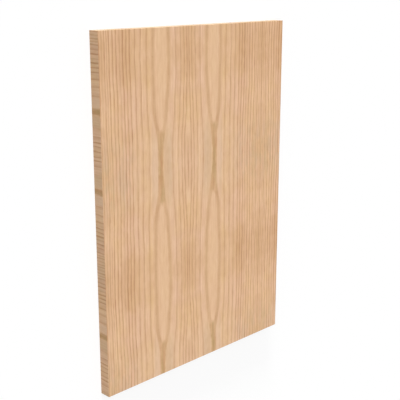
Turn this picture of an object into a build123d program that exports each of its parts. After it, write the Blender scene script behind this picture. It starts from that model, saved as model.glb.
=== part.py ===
"""Plywood sheet: one thick, square-cut panel with its narrow sides faced flush.

The panel lies flat on its back. X runs across the face grain, Y along it and Z through
the thickness. The origin is the middle of the back, where it rests.
"""

import os

from build123d import *

# Driving dimensions, in millimetres
sheet_width = 500.0  # across the face grain
sheet_length = 700.0  # along the face grain
sheet_thickness = 24.0
arris_radius = 0.4  # sanded rounding of every sawn edge

# The rounding never takes more than a quarter of the thickness
arris = min(arris_radius, sheet_thickness / 4)


def make_sheet():
    """The panel as one solid: sawn square, then every edge eased by sanding."""
    with BuildPart() as plywood_sheet:
        with BuildSketch(Plane.XY):
            Rectangle(sheet_width, sheet_length)
        extrude(amount=sheet_thickness)

        # Upright corners first, then the outlines of the face and of the back
        fillet(plywood_sheet.edges().filter_by(Axis.Z), radius=arris)
        face_and_back = plywood_sheet.faces().filter_by(Plane.XY)
        fillet(face_and_back.edges(), radius=arris)
    plywood_sheet.part.label = "plywood_sheet"
    return plywood_sheet


os.makedirs("parts", exist_ok=True)
sheet = make_sheet()
export_step(sheet.part, "parts/plywood_sheet.step")
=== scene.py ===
"""Veneers the plywood sheet and sets the studio that it is photographed in.

The sheet lies on its back with the grain of its face along Y. Sizes are in metres, as in the
frame, but the figure of the grain is worked out in millimetres.
"""

import math
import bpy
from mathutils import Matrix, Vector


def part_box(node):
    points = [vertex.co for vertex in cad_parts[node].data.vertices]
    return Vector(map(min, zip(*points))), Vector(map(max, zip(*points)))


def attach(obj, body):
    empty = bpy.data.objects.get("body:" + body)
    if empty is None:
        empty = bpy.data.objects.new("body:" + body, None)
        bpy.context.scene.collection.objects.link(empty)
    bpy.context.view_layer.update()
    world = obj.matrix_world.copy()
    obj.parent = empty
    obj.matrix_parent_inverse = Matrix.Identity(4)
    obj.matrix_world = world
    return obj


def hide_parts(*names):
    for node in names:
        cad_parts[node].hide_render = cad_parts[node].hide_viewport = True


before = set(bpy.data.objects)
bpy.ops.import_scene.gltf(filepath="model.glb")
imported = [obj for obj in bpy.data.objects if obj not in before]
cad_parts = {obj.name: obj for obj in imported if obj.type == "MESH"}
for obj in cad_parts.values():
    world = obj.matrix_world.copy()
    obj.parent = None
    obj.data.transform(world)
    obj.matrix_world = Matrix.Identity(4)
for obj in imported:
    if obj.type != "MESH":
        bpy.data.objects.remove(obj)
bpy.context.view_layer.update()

from types import SimpleNamespace

import bmesh
import bpy
from mathutils import Matrix, Vector

bl_info = {
    "name": "Plywood Sheet",
    "version": (1, 0, 0),
    "blender": (4, 5, 0),
    "location": "View3D > Sidebar > Sheet",
    "description": "A sheet of pine-faced plywood with book-matched cathedral grain",
    "category": "Add Mesh",
}

SHEET_LOW, SHEET_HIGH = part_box("plywood_sheet")

MM = 1000.0  # millimetres in a metre
FLOOR_GAP = 0.0001  # keeps the sheet's back and the floor from lying in one plane
EDGE_MARGIN = (0.5, 3.0)  # millimetres from the edge over which the relief sets in
ON_SURFACE = 0.000001  # what is nearer than this counts as on the surface

# Growth rings outwards from the middle of a cathedral: ring count against distance in
# millimetres in its heart, and then the width of each year and the boldness of its dark line,
# towards the mirror line and towards the flank
HEART = ((0.0, 0.45), (11.5, 0.5), (18.6, 1.0), (21.9, 1.0))
YEARS = {
    "fold": ((16.1, 0.8), (13.0, 0.9), (9.5, 1.35), (7.0, 1.5), (9.2, 1.0), (8.5, 1.0)),
    "flank": (
        (13.1, 0.75), (14.5, 0.95), (13.0, 0.95), (12.5, 1.5), (8.0, 1.4),
        (8.0, 1.6), (7.5, 0.6), (8.5, 1.15), (8.0, 0.95), (8.5, 1.3),
        (5.0, 0.7), (5.0, 1.1), (6.5, 0.6), (6.0, 1.0), (7.0, 1.0),
    ),
}
RING_REACH = 160.0  # distance that the 0 to 1 range of the ring curves stands for
RING_COUNT = 17.0  # ring count that it stands for
BOLDEST = 2.0  # and boldness

# Slow waves in the rings: how many millimetres along and across turn each by a radian, and its
# share of the height
SWAYS = ((41.0, 29.0, 1.0), (17.0, -53.0, 0.6))

# Unevenness of the wood: width and length of its marks in millimetres, how many finer sizes of
# mark they break up into, and how strong those are
MARKS = {
    "wander": (12.0, 40.0, 2.0, 0.5),
    "waver": (3.0, 18.0, 1.0, 0.5),
    "ruffle": (2.5, 12.0, 1.0, 0.5),
    "stretch": (6.0, 120.0, 1.0, 0.5),
    "mottle": (11.0, 26.0, 2.0, 0.5),
    "smudge": (4.0, 14.0, 2.0, 0.5),
    "ruddy": (9.0, 45.0, 1.0, 0.5),
    "cloud": (18.0, 34.0, 3.0, 0.5),
    "patch": (10.0, 30.0, 3.0, 0.5),
    "streak": (3.0, 300.0, 2.0, 0.6),
    "fibre": (1.1, 60.0, 3.0, 0.6),
    "hair": (0.35, 16.0, 2.0, 0.6),
    "fleck": (2.6, 20.0, 1.0, 0.5),
    "canal": (0.5, 7.0, 0.0, 0.5),
    "hue": (30.0, 80.0, 3.0, 0.65),
}
CLOUD_SHIFT = 90.0  # picks the stretch of the clouds' noise that suits the sheet
BROWN_STRIPE = 157.0  # distance of the flank's brown stripe from the mirror line

# How much red, green and blue change with a mark
RUDDY_TINT = (0.25, -0.05, 0.1)
WEATHERED_TINT = (-0.08, -0.06, -0.055)
TONE_TINT = (0.92, 1.5, 1.85)
HUE_TINT = (0.0, 0.03, -0.35)

# Bare sanded wood
FIBRE_RELIEF = 0.00004  # depth of the fibres' bump
WOOD_ROUGHNESS = 0.7
WOOD_IOR = 1.45
WOOD_SHINE = 0.35

# How far the back's leaves are out of step with the face's, across and along, in millimetres
BACK_STEP = (96.0, -71.0)

# Square of how far the cut moves out through the rings, in square millimetres
FACE_DEPTH = 460.0
EDGE_DEPTH = 468.0

# For each side, its axes across, along and through the veneer, in the order of the materials
SIDES = {"front": "XYZ", "back": "XYZ", "edge": "YZX", "far_end": "XZY", "near_end": "XZY"}

# For each lamp, where it stands from the sheet, the light that it gives to a surface facing it,
# how many degrees wide it looks, and whether it is mirrored in what it lights
LAMPS = {
    "overhead_lamp": ((-0.40, 0.30, 0.866), 0.523, 50.0, True),
    "end_lamp": ((-0.10, 0.985, 0.14), 0.93, 14.0, False),
}
LAMP_DISTANCE = 3.0  # only where they are drawn, as their light comes from far away
FLOOR_REACH = 4.0
SENSOR_WIDTH = 36.0  # of the camera, in millimetres
WHITE = (1.0, 1.0, 1.0, 1.0)


class Value:
    """A number that the shader works out at each point. Arithmetic on it adds Math nodes."""

    def __init__(self, graph, socket):
        self.graph = graph
        self.socket = socket

    def __add__(self, other):
        return self.graph.math("ADD", self, other)

    def __radd__(self, other):
        return self.graph.math("ADD", other, self)

    def __sub__(self, other):
        return self.graph.math("SUBTRACT", self, other)

    def __rsub__(self, other):
        return self.graph.math("SUBTRACT", other, self)

    def __mul__(self, other):
        return self.graph.math("MULTIPLY", self, other)

    def __rmul__(self, other):
        return self.graph.math("MULTIPLY", other, self)

    def __truediv__(self, other):
        return self.graph.math("DIVIDE", self, other)

    def __rtruediv__(self, other):
        return self.graph.math("DIVIDE", other, self)

    def __neg__(self):
        return self.graph.math("MULTIPLY", self, -1.0)

    def __pow__(self, other):
        return self.graph.math("POWER", self, other)

    def __abs__(self):
        return self.graph.math("ABSOLUTE", self)


class Graph:
    """The nodes of one material or world, added as they are asked for."""

    def __init__(self, owner):
        owner.use_nodes = True
        self.tree = owner.node_tree
        self.tree.nodes.clear()

    def node(self, kind, settings=None, values=None, output=0):
        """Adds a node: its settings first, then a number or a link for each socket given."""
        node = self.tree.nodes.new(kind)
        for name, setting in (settings or {}).items():
            if name == "points":
                self.bend(node.mapping, setting)
            else:
                setattr(node, name, setting)
        for name, value in (values or {}).items():
            if isinstance(value, Value):
                self.tree.links.new(value.socket, node.inputs[name])
            else:
                node.inputs[name].default_value = value
        return Value(self, node.outputs[output]) if node.outputs else None

    def bend(self, mapping, points):
        """Lays a curve through the points in straight stretches."""
        curve = mapping.curves[0]
        while len(curve.points) < len(points):
            curve.points.new(0.5, 0.5)
        for point, place in zip(curve.points, points):
            point.location = place
            point.handle_type = "VECTOR"
        mapping.update()

    def math(self, operation, *values):
        return self.node("ShaderNodeMath", {"operation": operation}, dict(enumerate(values)))

    def pingpong(self, value, scale):
        return self.math("PINGPONG", value, scale)

    def sine(self, value):
        return self.math("SINE", value)

    def cosine(self, value):
        return self.math("COSINE", value)

    def root(self, value):
        return self.math("SQRT", value)

    def exponent(self, value):
        return self.math("EXPONENT", value)

    def rounded(self, value):
        return self.math("ROUND", value)

    def above(self, value, limit):
        return self.math("GREATER_THAN", value, limit)

    def smooth(self, value, start, end):
        """Rises from 0 at start to 1 at end, easing in and out."""
        values = {"Value": value, "From Min": start, "From Max": end}
        return self.node("ShaderNodeMapRange", {"interpolation_type": "SMOOTHSTEP"}, values)

    def fade(self, value, start, end):
        """Falls from 1 at start to 0 at end, easing in and out."""
        return 1 - self.smooth(value, start, end)

    def curve(self, value, points):
        """Follows the points, given in the 0 to 1 range both ways."""
        return self.node("ShaderNodeFloatCurve", {"points": points}, {"Value": value})

    def vector(self, x, y, z):
        return self.node("ShaderNodeCombineXYZ", None, {0: x, 1: y, 2: z})

    def mix(self, factor, first, second, blend="MIX"):
        """Mixes two colours."""
        settings = {"data_type": "RGBA", "blend_type": blend, "clamp_factor": True}
        values = {0: factor, 6: first, 7: second}
        return self.node("ShaderNodeMix", settings, values, output=2)

    def toned(self, color, value, tint):
        """The colour with each of red, green and blue changed by the value times its tint."""
        channels = {number: 1 + value * share for number, share in enumerate(tint)}
        factor = self.node("ShaderNodeCombineColor", None, channels)
        return self.mix(1.0, color, factor, blend="MULTIPLY")

    def marks(self, place, name, shift=0.0):
        """Noise of the named kind, in the 0 to 1 range."""
        width, length, detail, roughness = MARKS[name]
        values = {"Vector": place, "Scale": [1.0 / width, 1.0 / length, 1.0 / width]}
        values["Location"] = (shift, 0.0, 0.0)
        stretched = self.node("ShaderNodeMapping", None, values)
        values = {"Vector": stretched, "Scale": 1.0, "Detail": detail, "Roughness": roughness}
        return self.node("ShaderNodeTexNoise", None, values)


class Numbers:
    """The same maths on plain numbers, for the relief that is modelled in the mesh."""

    @staticmethod
    def pingpong(value, scale):
        return scale - abs(value % (2 * scale) - scale)

    sine = staticmethod(math.sin)
    cosine = staticmethod(math.cos)
    root = staticmethod(math.sqrt)
    exponent = staticmethod(math.exp)
    rounded = staticmethod(round)

    @staticmethod
    def above(value, limit):
        return 1.0 if value > limit else 0.0

    @staticmethod
    def smooth(value, start, end):
        step = min(max((value - start) / (end - start), 0.0), 1.0)
        return step * step * (3 - 2 * step)

    @classmethod
    def fade(cls, value, start, end):
        return 1 - cls.smooth(value, start, end)

    @staticmethod
    def curve(value, points):
        for (left, low), (right, high) in zip(points, points[1:]):
            if value <= right:
                return low + (high - low) * max(value - left, 0.0) / (right - left)
        return points[-1][1]


def ring_points(side):
    """Ring count against distance from a cathedral's middle, both in the 0 to 1 range."""
    points = list(HEART)
    for width, boldness in YEARS[side]:
        distance, rings = points[-1]
        points.append((distance + width, rings + 1.0))
    return [(distance / RING_REACH, rings / RING_COUNT) for distance, rings in points]


def boldness_points(side):
    """Boldness of each ring's line against the ring count, both in the 0 to 1 range."""
    years = [1.0, 1.0] + [boldness for width, boldness in YEARS[side]]
    return [(ring / RING_COUNT, boldness / BOLDEST) for ring, boldness in enumerate(years)]


def both_sides(maths, value, points_of, outer):
    """Follows the curve towards the mirror line, and past the middle the one of the flank."""
    fold = maths.curve(value, points_of("fold"))
    flank = maths.curve(value, points_of("flank"))
    return fold + (flank - fold) * outer


def figure(maths, across, along, grain, ruffle=0.0):
    """Finds a point's place in the growth rings from its place on the veneer, in millimetres.

    The leaf is folded out on mirror lines both ways, as book-matched veneer is. It holds half
    of a pale spindle, and half of a dark waist where the cut runs along one ring. Fold and run
    are the distances from the mirror lines, and offset is the one from the cathedral's middle.
    Rise goes from 0 in the middle of a spindle to 1 in the middle of a waist. Ruffle makes the
    ring there uneven.
    """
    sway = 0.0
    for wave_along, wave_across, height in SWAYS:
        sway = sway + height * maths.sine(along / wave_along + across / wave_across)
    across = across + grain.sway * sway
    fold = maths.pingpong(across - grain.fold_across, grain.leaf)
    run = maths.pingpong(along - grain.fold_along, grain.leaf)
    rise = (1 - maths.cosine(run * (math.pi / grain.leaf))) / 2

    # The waists lie a little further from the mirror line than the spindles do
    offset = fold - grain.column
    offset = offset - grain.drift * rise * (1 - 1.3 * maths.smooth(offset, 25.0, 115.0))

    # The cut moves out through the rings, and past a spindle's tip it runs along the first one
    pinch = maths.smooth(run, 0.5 * grain.leaf, 0.78 * grain.leaf)
    depth = grain.depth * (0.75 * rise**1.1 + 0.25 * pinch)
    radius = maths.root(offset * offset + depth + ruffle * rise) / RING_REACH
    outer = maths.smooth(offset, -4.0, 4.0)
    rings = both_sides(maths, radius, ring_points, outer) * RING_COUNT
    line = latewood(maths, rings, rise)
    return SimpleNamespace(
        rings=rings, line=line, outer=outer, offset=offset, fold=fold, run=run, rise=rise
    )


def latewood(maths, rings, rise):
    """1 on a ring's dark line, which ends sharply on one side and fades out on the other.

    Round a spindle the first ring's line is blurred both ways, but not at the spindle's tips.
    """
    width = 14.0 - 6.5 * maths.smooth(rings, 3.0, 7.0)
    away = rings - maths.rounded(rings)
    past = maths.above(away, 0.0)
    fading = maths.fade(abs(away), 0.3, 0.5)
    blur = maths.fade(rings, 1.2, 1.8) * maths.fade(rise, 0.45, 0.75)
    sharp = away * width / (0.8 + 2.0 * blur)
    tail = 0.5 + 1.7 * maths.smooth(rings, 1.2, 1.8) - 0.9 * maths.smooth(rings, 3.0, 6.0)
    tail = tail + 1.5 * blur
    before = maths.exponent(-(sharp * sharp))
    after = maths.exponent(-abs(away) * width / tail) * fading
    return before + (after - before) * past


def find_spot(graph, across, along, through, grain):
    """Finds a point in the figure, with the small unevenness of real rings.

    Place is the point itself. Leaf is the point folded back on its leaf, so marks that are
    laid on it repeat in the mirror image beside it. The rest are 1 where their name holds, and
    0 elsewhere: out on the flank, level with a spindle's middle, in a waist, outside a spindle,
    past the first ring's line, and in scattered patches.
    """
    place = graph.vector(across, along, through)
    wander = (graph.marks(place, "wander") - 0.5) * 2.4
    wander = wander + (graph.marks(place, "waver") - 0.5) * 1.6
    ruffle = (graph.marks(place, "ruffle") - 0.5) * 60.0
    spot = figure(graph, across + wander, along, grain, ruffle)
    spot.place = place
    spot.leaf = graph.vector(spot.fold, spot.run, through)
    spot.flank = graph.smooth(spot.offset, 55.0, 88.0)
    spot.level = graph.fade(spot.run, 5.0, 88.0)
    spot.waist = graph.smooth(spot.rise, 0.72, 0.8) * graph.fade(abs(spot.offset), 8.0, 14.0)
    spot.outside = graph.smooth(spot.rings, 0.85, 1.6)
    spot.past_first = graph.smooth(spot.rings, 1.2, 1.6)
    spot.patches = graph.smooth(graph.marks(place, "patch"), 0.35, 0.65)
    return spot


def paint_rings(graph, spot, look):
    """Latewood lines on pale wood, bolder in some years and stretches than in others."""
    year = graph.rounded(spot.rings) / RING_COUNT
    bold = both_sides(graph, year, boldness_points, spot.outer)
    stretch = graph.smooth(graph.marks(spot.leaf, "stretch"), 0.32, 0.68)
    first = 0.57 - 0.03 * spot.outer
    first = first + graph.smooth(spot.rise, 0.3, 0.75) * (0.35 * spot.outer - 0.2)
    later = bold * BOLDEST * (0.7 + 0.4 * stretch + spot.flank * (0.1 + 0.2 * spot.level))
    strength = first + (later - first) * spot.past_first
    line_color = graph.mix(0.5 + 0.5 * spot.past_first, look.waist, look.late)
    return graph.mix(spot.line * strength * (1 - spot.waist), look.pale, line_color)


def paint_waists(graph, spot, look, color):
    """Dark waist between two spindles, a pinkish stripe outside it and a greyish one inside."""
    offset = spot.offset
    rise = spot.rise
    smudge = graph.smooth(graph.marks(spot.place, "smudge"), 0.3, 0.7)
    deep = 0.79 + 0.11 * graph.smooth(rise, 0.85, 1.0) - 0.18 * graph.smooth(abs(offset), 1.0, 6.0)
    deep = deep - 0.14 * graph.smooth(offset, -1.0, 5.0) * graph.fade(rise, 0.88, 0.98)
    deep = spot.line * spot.waist * (deep + 0.16 * smudge)
    ruddy = graph.marks(spot.place, "ruddy") - 0.45
    color = graph.mix(deep, color, graph.toned(look.waist, ruddy, RUDDY_TINT))
    narrow = graph.smooth(rise, 0.55, 0.95) * (1 - spot.line)
    outer = graph.smooth(offset, 4.0, 10.0) * graph.fade(offset, 20.0, 27.0)
    inner = graph.smooth(-offset, 4.0, 11.0) * graph.fade(-offset, 24.0, 40.0)
    color = graph.mix(narrow * outer * 0.75, color, look.pink)
    return graph.mix(narrow * inner * 0.75, color, look.grey)


def paint_patches(graph, spot, look, color):
    """Browner and greyer patches of wood.

    It is browner in clouds and level with the spindles' middles, most of all on the flanks
    and by the mirror lines. It is greyer level with the waists, most of all on the flanks.
    """
    cloud = graph.smooth(graph.marks(spot.leaf, "cloud", CLOUD_SHIFT), 0.34, 0.66)
    near_mirror = graph.fade(spot.fold, 0.0, 58.0) * graph.fade(spot.run, 0.0, 140.0)
    far_mirror = graph.smooth(spot.fold, 190.0, 217.0) * graph.fade(spot.run, 0.0, 65.0)
    stripe = graph.fade(abs(spot.fold - BROWN_STRIPE), 1.0, 26.0)
    stripe = stripe * graph.fade(spot.run, 5.0, 100.0)
    brown = spot.level * (0.16 + 0.03 * spot.flank) + 0.13 * near_mirror + 0.26 * (cloud - 0.57)
    brown = brown + (far_mirror + 0.75 * stripe) * (0.2 + 0.3 * spot.patches)
    color = graph.toned(color, brown * spot.outside, look.browning)
    weathered = 0.2 * spot.past_first + spot.flank * (1.2 * spot.patches - 0.1)
    weathered = graph.smooth(spot.run, 120.0, 195.0) * weathered
    return graph.toned(color, weathered, WEATHERED_TINT)


def paint_veneer(graph, across, along, through, look):
    """Colours bare sanded pine veneer. The three places are values in millimetres.

    Gives the colour, the roughness and the height of the fine relief.
    """
    spot = find_spot(graph, across, along, through, look.grain)
    color = paint_rings(graph, spot, look)
    color = paint_waists(graph, spot, look, color)
    color = paint_patches(graph, spot, look, color)

    # Streaks, fibres, flecks and resin canals, and a slow change of hue
    streak = graph.marks(spot.leaf, "streak")
    mottle = graph.marks(spot.leaf, "mottle")
    fibre = graph.marks(spot.place, "fibre")
    hair = graph.marks(spot.place, "hair")
    fleck = graph.marks(spot.place, "fleck")
    canal = graph.smooth(graph.marks(spot.place, "canal"), 0.7, 0.8)
    tone = (streak - 0.5) * 0.22 + (fibre - 0.5) * 0.14 + (hair - 0.5) * 0.08
    tone = tone + (fleck - 0.5) * 0.12 + (mottle - 0.5) * 0.1
    tone = tone + (spot.patches - 0.5) * 0.02 * spot.flank
    tone = tone - canal * (0.05 + 0.12 * spot.line)
    color = graph.toned(color, tone, TONE_TINT)
    hue = (graph.marks(spot.leaf, "hue") - 0.5) * (0.3 + 0.7 * spot.outside)
    color = graph.toned(color, hue, HUE_TINT)

    roughness = WOOD_ROUGHNESS - 0.05 * spot.line + (fibre - 0.5) * 0.15
    height = 0.5 * spot.line + 0.5 * fibre + 0.35 * hair - 0.6 * canal
    return color, roughness, height


class Grain:
    """How a leaf of veneer is cut and folded out, in millimetres."""

    drift = 3.0  # how far the cathedral's middle has moved sideways in the waist
    sway = 0.55  # height of the slow waves

    def __init__(self, fold_across, fold_along, settings, depth=FACE_DEPTH):
        self.fold_across = fold_across
        self.fold_along = fold_along
        self.leaf = settings.leaf_width * MM
        self.column = settings.column_place * MM
        self.depth = depth


class Look:
    """A grain with the veneer's colours, each toned by the same tint. On the far end that tint is
    a painted highlight.
    """

    def __init__(self, grain, settings, tint=(1.0, 1.0, 1.0)):
        self.grain = grain
        for name in ("pale", "late", "waist", "pink", "grey"):
            color = [channel * share for channel, share in zip(getattr(settings, name), tint)]
            setattr(self, name, (*color, 1.0))
        self.browning = [channel - 1 for channel in settings.shade]


def veneer_material(name, look, order):
    """Bare veneer. Order names the axes across, along and through it."""
    material = bpy.data.materials.new(name)
    graph = Graph(material)
    coordinates = graph.node("ShaderNodeTexCoord", output=3)
    axes = {}
    for number, axis in enumerate("XYZ"):
        part = graph.node("ShaderNodeSeparateXYZ", None, {0: coordinates}, output=number)
        axes[axis] = part * MM
    across, along, through = (axes[axis] for axis in order)
    color, roughness, height = paint_veneer(graph, across, along, through, look)
    values = {"Height": height, "Strength": 1.0, "Distance": FIBRE_RELIEF}
    bump = graph.node("ShaderNodeBump", None, values)
    values = {"Base Color": color, "Roughness": roughness, "Normal": bump}
    values["IOR"] = WOOD_IOR
    values["Specular IOR Level"] = WOOD_SHINE
    surface = graph.node("ShaderNodeBsdfPrincipled", None, values)
    graph.node("ShaderNodeOutputMaterial", None, {"Surface": surface})
    return material


class VeneerSettings(bpy.types.PropertyGroup):
    """Size of the veneer's figure and its colours."""

    leaf_width: bpy.props.FloatProperty(
        name="Leaf Width",
        description="Distance between the mirror lines of the book-matched leaves",
        default=0.21725,
        unit="LENGTH",
    )
    column_place: bpy.props.FloatProperty(
        name="Cathedral Place",
        description="Distance from a mirror line to the middle of a cathedral",
        default=0.071,
        unit="LENGTH",
    )
    fold_across: bpy.props.FloatProperty(
        name="Fold Across",
        description="Place of a mirror line across the face, from the sheet's middle",
        default=-0.03275,
        unit="LENGTH",
    )
    fold_along: bpy.props.FloatProperty(
        name="Fold Along",
        description="Place of a spindle's middle along the face, from the sheet's middle",
        default=0.3015,
        unit="LENGTH",
    )
    edge_fold: bpy.props.FloatProperty(
        name="Edge Fold",
        description="Place of a mirror line along the long edges, from the sheet's middle",
        default=0.134,
        unit="LENGTH",
    )
    pale: bpy.props.FloatVectorProperty(
        name="Earlywood", description="Pale wood", subtype="COLOR", default=(0.744, 0.484, 0.293)
    )
    late: bpy.props.FloatVectorProperty(
        name="Latewood", description="Ring lines", subtype="COLOR", default=(0.556, 0.298, 0.154)
    )
    waist: bpy.props.FloatVectorProperty(
        name="Waist", description="Latewood cut along the ring", subtype="COLOR",
        default=(0.52, 0.31, 0.145),
    )
    pink: bpy.props.FloatVectorProperty(
        name="Pinkish Stripe", description="Outside the waist", subtype="COLOR",
        default=(0.72, 0.486, 0.306),
    )
    grey: bpy.props.FloatVectorProperty(
        name="Greyish Stripe", description="Inside the waist", subtype="COLOR",
        default=(0.662, 0.445, 0.27),
    )
    shade: bpy.props.FloatVectorProperty(
        name="Browning", description="What the brownest patches filter out", subtype="COLOR",
        default=(0.785, 0.71, 0.565),
    )
    # Paler, cooler colours for the far end: a painted highlight for the strong low light that
    # grazes it
    far_end_painted_highlight: bpy.props.FloatVectorProperty(
        name="Far End Painted Highlight", description="How the far end differs from the face", subtype="COLOR",
        default=(0.95, 1.12, 1.25), soft_max=2.0,
    )


class SheetSettings(bpy.types.PropertyGroup):
    """Shape of the sheet."""

    arris: bpy.props.FloatProperty(
        name="Arris", description="Sanded rounding of the edges", default=0.0004, unit="LENGTH"
    )
    relief: bpy.props.FloatProperty(
        name="Relief",
        description="How far sanding sinks the soft earlywood below the ring lines",
        default=0.00004,
        precision=5,
        unit="LENGTH",
    )
    columns: bpy.props.IntProperty(
        name="Columns", description="Faces across the grain", default=400
    )
    rows: bpy.props.IntProperty(name="Rows", description="Faces along the grain", default=100)


class StudioSettings(bpy.types.PropertyGroup):
    """Camera and light."""

    lens: bpy.props.FloatProperty(
        name="Lens", description="Focal length", default=75.0, unit="CAMERA"
    )
    distance: bpy.props.FloatProperty(
        name="Distance", description="From the middle of the face", default=1.701, unit="LENGTH"
    )
    azimuth: bpy.props.FloatProperty(
        name="Turn", description="To the left of square-on", default=math.radians(45.0),
        subtype="ANGLE",
    )
    elevation: bpy.props.FloatProperty(
        name="Height", description="Towards the sheet's far end", default=math.radians(15.0),
        subtype="ANGLE",
    )
    ambient: bpy.props.FloatProperty(
        name="Ambient", description="Light from all round", default=0.42, soft_min=0.0,
        soft_max=1.0, subtype="FACTOR",
    )
    floor_bounce: bpy.props.FloatProperty(
        name="Floor Bounce", description="How much the floor sends back", default=0.35, min=0.0,
        max=1.0, subtype="FACTOR",
    )
    shadow: bpy.props.FloatProperty(
        name="Shadow", description="How much of the floor's shadow shows", default=0.3, min=0.0,
        max=1.0, subtype="FACTOR",
    )


def sink_earlywood(mesh, settings, grains):
    """Lowers the face and the back between the ring lines, fading out at the edges."""
    middle = (SHEET_LOW[2] + SHEET_HIGH[2]) / 2
    half = (SHEET_HIGH[2] - SHEET_LOW[2]) / 2
    for vertex in mesh.verts:
        place = vertex.co
        if abs(place.z - middle) < half - ON_SURFACE:
            continue
        front = place.z > middle
        grain = grains["front" if front else "back"]
        line = figure(Numbers, place.x * MM, place.y * MM, grain).line
        edge = min(SHEET_HIGH[0] - abs(place.x), SHEET_HIGH[1] - abs(place.y)) * MM
        sink = settings.relief * (1 - line) * Numbers.smooth(edge, *EDGE_MARGIN)
        place.z += -sink if front else sink


def side_of(normal):
    """Which side a face belongs to, by its normal. The eased edges are shared out."""
    if abs(normal.x) > 0.9:
        return "edge"
    if abs(normal.y) > 0.9:
        return "far_end" if normal.y > 0 else "near_end"
    return "back" if normal.z < -0.3 else "front"


def sheet_mesh(settings, grains):
    """The sheet's surface: a block cut into fine faces, with eased edges and a sunk grain."""
    size = Vector(SHEET_HIGH) - Vector(SHEET_LOW)
    middle = (Vector(SHEET_HIGH) + Vector(SHEET_LOW)) / 2
    mesh = bmesh.new()
    bmesh.ops.create_cube(mesh, size=1.0)
    bmesh.ops.scale(mesh, vec=size, verts=mesh.verts)
    bmesh.ops.translate(mesh, vec=middle, verts=mesh.verts)
    for axis, cuts in ((0, settings.columns - 1), (1, settings.rows - 1)):
        edges = []
        for edge in mesh.edges:
            run = edge.verts[1].co - edge.verts[0].co
            if abs(run[axis]) > 0.9 * run.length:
                edges.append(edge)
        bmesh.ops.subdivide_edges(mesh, edges=edges, cuts=cuts, use_grid_fill=True)
    sharp = [edge for edge in mesh.edges if edge.calc_face_angle(0.0) > 1.0]
    bmesh.ops.bevel(
        mesh,
        geom=sharp,
        offset=settings.arris,
        offset_type="OFFSET",
        segments=3,
        profile=0.5,
        affect="EDGES",
        material=-1,
    )
    bmesh.ops.recalc_face_normals(mesh, faces=mesh.faces)
    mesh.normal_update()
    slots = list(SIDES)
    for face in mesh.faces:
        face.smooth = True
        face.material_index = slots.index(side_of(face.normal))
    sink_earlywood(mesh, settings, grains)
    return mesh


def leaves_of_each_side(veneer):
    """Where the leaves are folded out on each side. On the ends the face's leaves go on."""
    across = veneer.fold_across * MM
    along = veneer.fold_along * MM
    over_far_end = along - (SHEET_HIGH[1] - SHEET_HIGH[2]) * MM
    over_near_end = along - (SHEET_LOW[1] - SHEET_HIGH[2]) * MM
    return {
        "front": Grain(across, along, veneer),
        "back": Grain(across + BACK_STEP[0], along + BACK_STEP[1], veneer),
        "edge": Grain(veneer.edge_fold * MM, -veneer.leaf_width * MM, veneer, EDGE_DEPTH),
        "far_end": Grain(across, over_far_end, veneer),
        "near_end": Grain(across, over_near_end, veneer),
    }


class OBJECT_OT_make_sheet(bpy.types.Operator):
    """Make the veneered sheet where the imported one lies"""

    bl_idname = "object.make_sheet"
    bl_label = "Make Sheet"

    def execute(self, context):
        scene = context.scene
        veneer = scene.veneer_settings
        grains = leaves_of_each_side(veneer)
        shape = sheet_mesh(scene.sheet_settings, grains)
        mesh = bpy.data.meshes.new("veneered_sheet")
        shape.to_mesh(mesh)
        shape.free()
        for side, order in SIDES.items():
            look = Look(grains[side], veneer)
            # Only the far end is toned paler and cooler, a painted highlight for the end lamp's
            # strong light on it
            if side == "far_end":
                look = Look(grains[side], veneer, veneer.far_end_painted_highlight)
            mesh.materials.append(veneer_material(f"pine_{side}", look, order))
        piece = bpy.data.objects.new("veneered_sheet", mesh)
        scene.collection.objects.link(piece)
        weighted = piece.modifiers.new("even_normals", "WEIGHTED_NORMAL")
        weighted.mode = "FACE_AREA"
        weighted.weight = 50
        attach(piece, "root")
        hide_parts("plywood_sheet")
        return {"FINISHED"}


def floor_material(settings):
    """White to the camera, less so to the light that it sends back up."""
    material = bpy.data.materials.new("studio_floor")
    graph = Graph(material)
    seen = graph.node("ShaderNodeLightPath", output=0)
    lit = graph.node("ShaderNodeBsdfDiffuse", None, {"Color": WHITE})
    glow = graph.node("ShaderNodeEmission", None, {"Color": WHITE, "Strength": 1.0})
    shown = graph.node("ShaderNodeMixShader", None, {0: settings.shadow, 1: glow, 2: lit})
    dull = (*[settings.floor_bounce] * 3, 1.0)
    bounce = graph.node("ShaderNodeBsdfDiffuse", None, {"Color": dull})
    mirrored = seen_by_gloss(graph)
    dim = graph.node("ShaderNodeMixShader", None, {0: mirrored, 1: bounce, 2: glow})
    surface = graph.node("ShaderNodeMixShader", None, {0: seen, 1: dim, 2: shown})
    graph.node("ShaderNodeOutputMaterial", None, {"Surface": surface})
    return material


def seen_by_gloss(graph):
    """1 for a ray that comes off a shiny surface or through a clear one."""
    glossy = graph.node("ShaderNodeLightPath", output="Is Glossy Ray")
    passed = graph.node("ShaderNodeLightPath", output="Is Transmission Ray")
    return graph.math("MAXIMUM", glossy, passed)


def studio_world(settings):
    """White behind everything, and an even pale light from all round."""
    world = bpy.data.worlds.new("studio_world")
    graph = Graph(world)
    seen = graph.node("ShaderNodeLightPath", output=0)
    shown = graph.math("MAXIMUM", seen, seen_by_gloss(graph))
    back = graph.node("ShaderNodeBackground", None, {"Color": WHITE, "Strength": 1.0})
    values = {"Color": WHITE, "Strength": settings.ambient}
    light = graph.node("ShaderNodeBackground", None, values)
    surface = graph.node("ShaderNodeMixShader", None, {0: shown, 1: light, 2: back})
    graph.node("ShaderNodeOutputWorld", None, {"Surface": surface})
    return world


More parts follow.
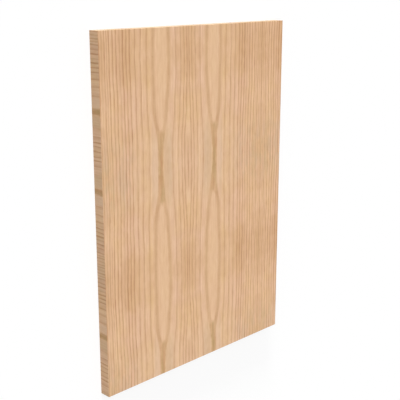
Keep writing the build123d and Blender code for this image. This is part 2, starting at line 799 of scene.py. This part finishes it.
def lay_floor(scene, settings):
    """A wide floor just under the sheet."""
    shape = bmesh.new()
    bmesh.ops.create_grid(shape, x_segments=1, y_segments=1, size=FLOOR_REACH)
    mesh = bpy.data.meshes.new("studio_floor")
    shape.to_mesh(mesh)
    shape.free()
    mesh.materials.append(floor_material(settings))
    floor = bpy.data.objects.new("studio_floor", mesh)
    floor.location.z = SHEET_LOW[2] - FLOOR_GAP
    scene.collection.objects.link(floor)


def add_lamp(scene, name):
    """A broad lamp far away."""
    towards, share, breadth, mirrored = LAMPS[name]
    lamp = bpy.data.lights.new(name, "SUN")
    lamp.energy = share * math.pi
    lamp.angle = math.radians(breadth)
    holder = bpy.data.objects.new(name, lamp)
    holder.rotation_euler = Vector(towards).to_track_quat("Z", "Y").to_euler()
    holder.location = Vector(towards).normalized() * LAMP_DISTANCE
    holder.visible_glossy = mirrored
    scene.collection.objects.link(holder)


def add_camera(scene, settings):
    """Aims at the middle of the face, as if the sheet stood on its near end."""
    turn = settings.azimuth
    lift = settings.elevation
    across = math.cos(lift) * math.sin(turn)
    back = Vector((-across, math.sin(lift), math.cos(lift) * math.cos(turn)))
    right = Vector((math.cos(turn), 0.0, math.sin(turn)))
    up = back.cross(right)
    target = Vector((0.0, 0.0, SHEET_HIGH[2]))
    camera = bpy.data.cameras.new("photo_camera")
    camera.lens = settings.lens
    camera.sensor_width = SENSOR_WIDTH
    holder = bpy.data.objects.new("photo_camera", camera)
    turned = Matrix((right, up, back)).transposed().to_4x4()
    holder.matrix_world = Matrix.Translation(target + back * settings.distance) @ turned
    scene.collection.objects.link(holder)
    scene.camera = holder


class SCENE_OT_set_studio(bpy.types.Operator):
    """Lay the floor, light the sheet and place the camera"""

    bl_idname = "scene.set_studio"
    bl_label = "Set Studio"

    def execute(self, context):
        scene = context.scene
        settings = scene.studio_settings
        lay_floor(scene, settings)
        scene.world = studio_world(settings)
        for name in LAMPS:
            add_lamp(scene, name)
        add_camera(scene, settings)
        scene.view_settings.view_transform = "Standard"
        return {"FINISHED"}


class VIEW3D_PT_sheet(bpy.types.Panel):
    """Settings and steps of the sheet"""

    bl_label = "Plywood Sheet"
    bl_idname = "VIEW3D_PT_sheet"
    bl_space_type = "VIEW_3D"
    bl_region_type = "UI"
    bl_category = "Sheet"

    def draw(self, context):
        layout = self.layout
        for group, operator in (
            (context.scene.sheet_settings, "object.make_sheet"),
            (context.scene.veneer_settings, None),
            (context.scene.studio_settings, "scene.set_studio"),
        ):
            box = layout.box()
            for name in group.__annotations__:
                box.prop(group, name)
            if operator:
                box.operator(operator)


CLASSES = (
    VeneerSettings,
    SheetSettings,
    StudioSettings,
    OBJECT_OT_make_sheet,
    SCENE_OT_set_studio,
    VIEW3D_PT_sheet,
)


def register():
    for item in CLASSES:
        bpy.utils.register_class(item)
    bpy.types.Scene.veneer_settings = bpy.props.PointerProperty(type=VeneerSettings)
    bpy.types.Scene.sheet_settings = bpy.props.PointerProperty(type=SheetSettings)
    bpy.types.Scene.studio_settings = bpy.props.PointerProperty(type=StudioSettings)


def unregister():
    del bpy.types.Scene.studio_settings
    del bpy.types.Scene.sheet_settings
    del bpy.types.Scene.veneer_settings
    for item in reversed(CLASSES):
        bpy.utils.unregister_class(item)


def main():
    """Makes the sheet and its studio."""
    register()
    bpy.ops.object.make_sheet()
    bpy.ops.scene.set_studio()


if __name__ == "__main__":
    main()
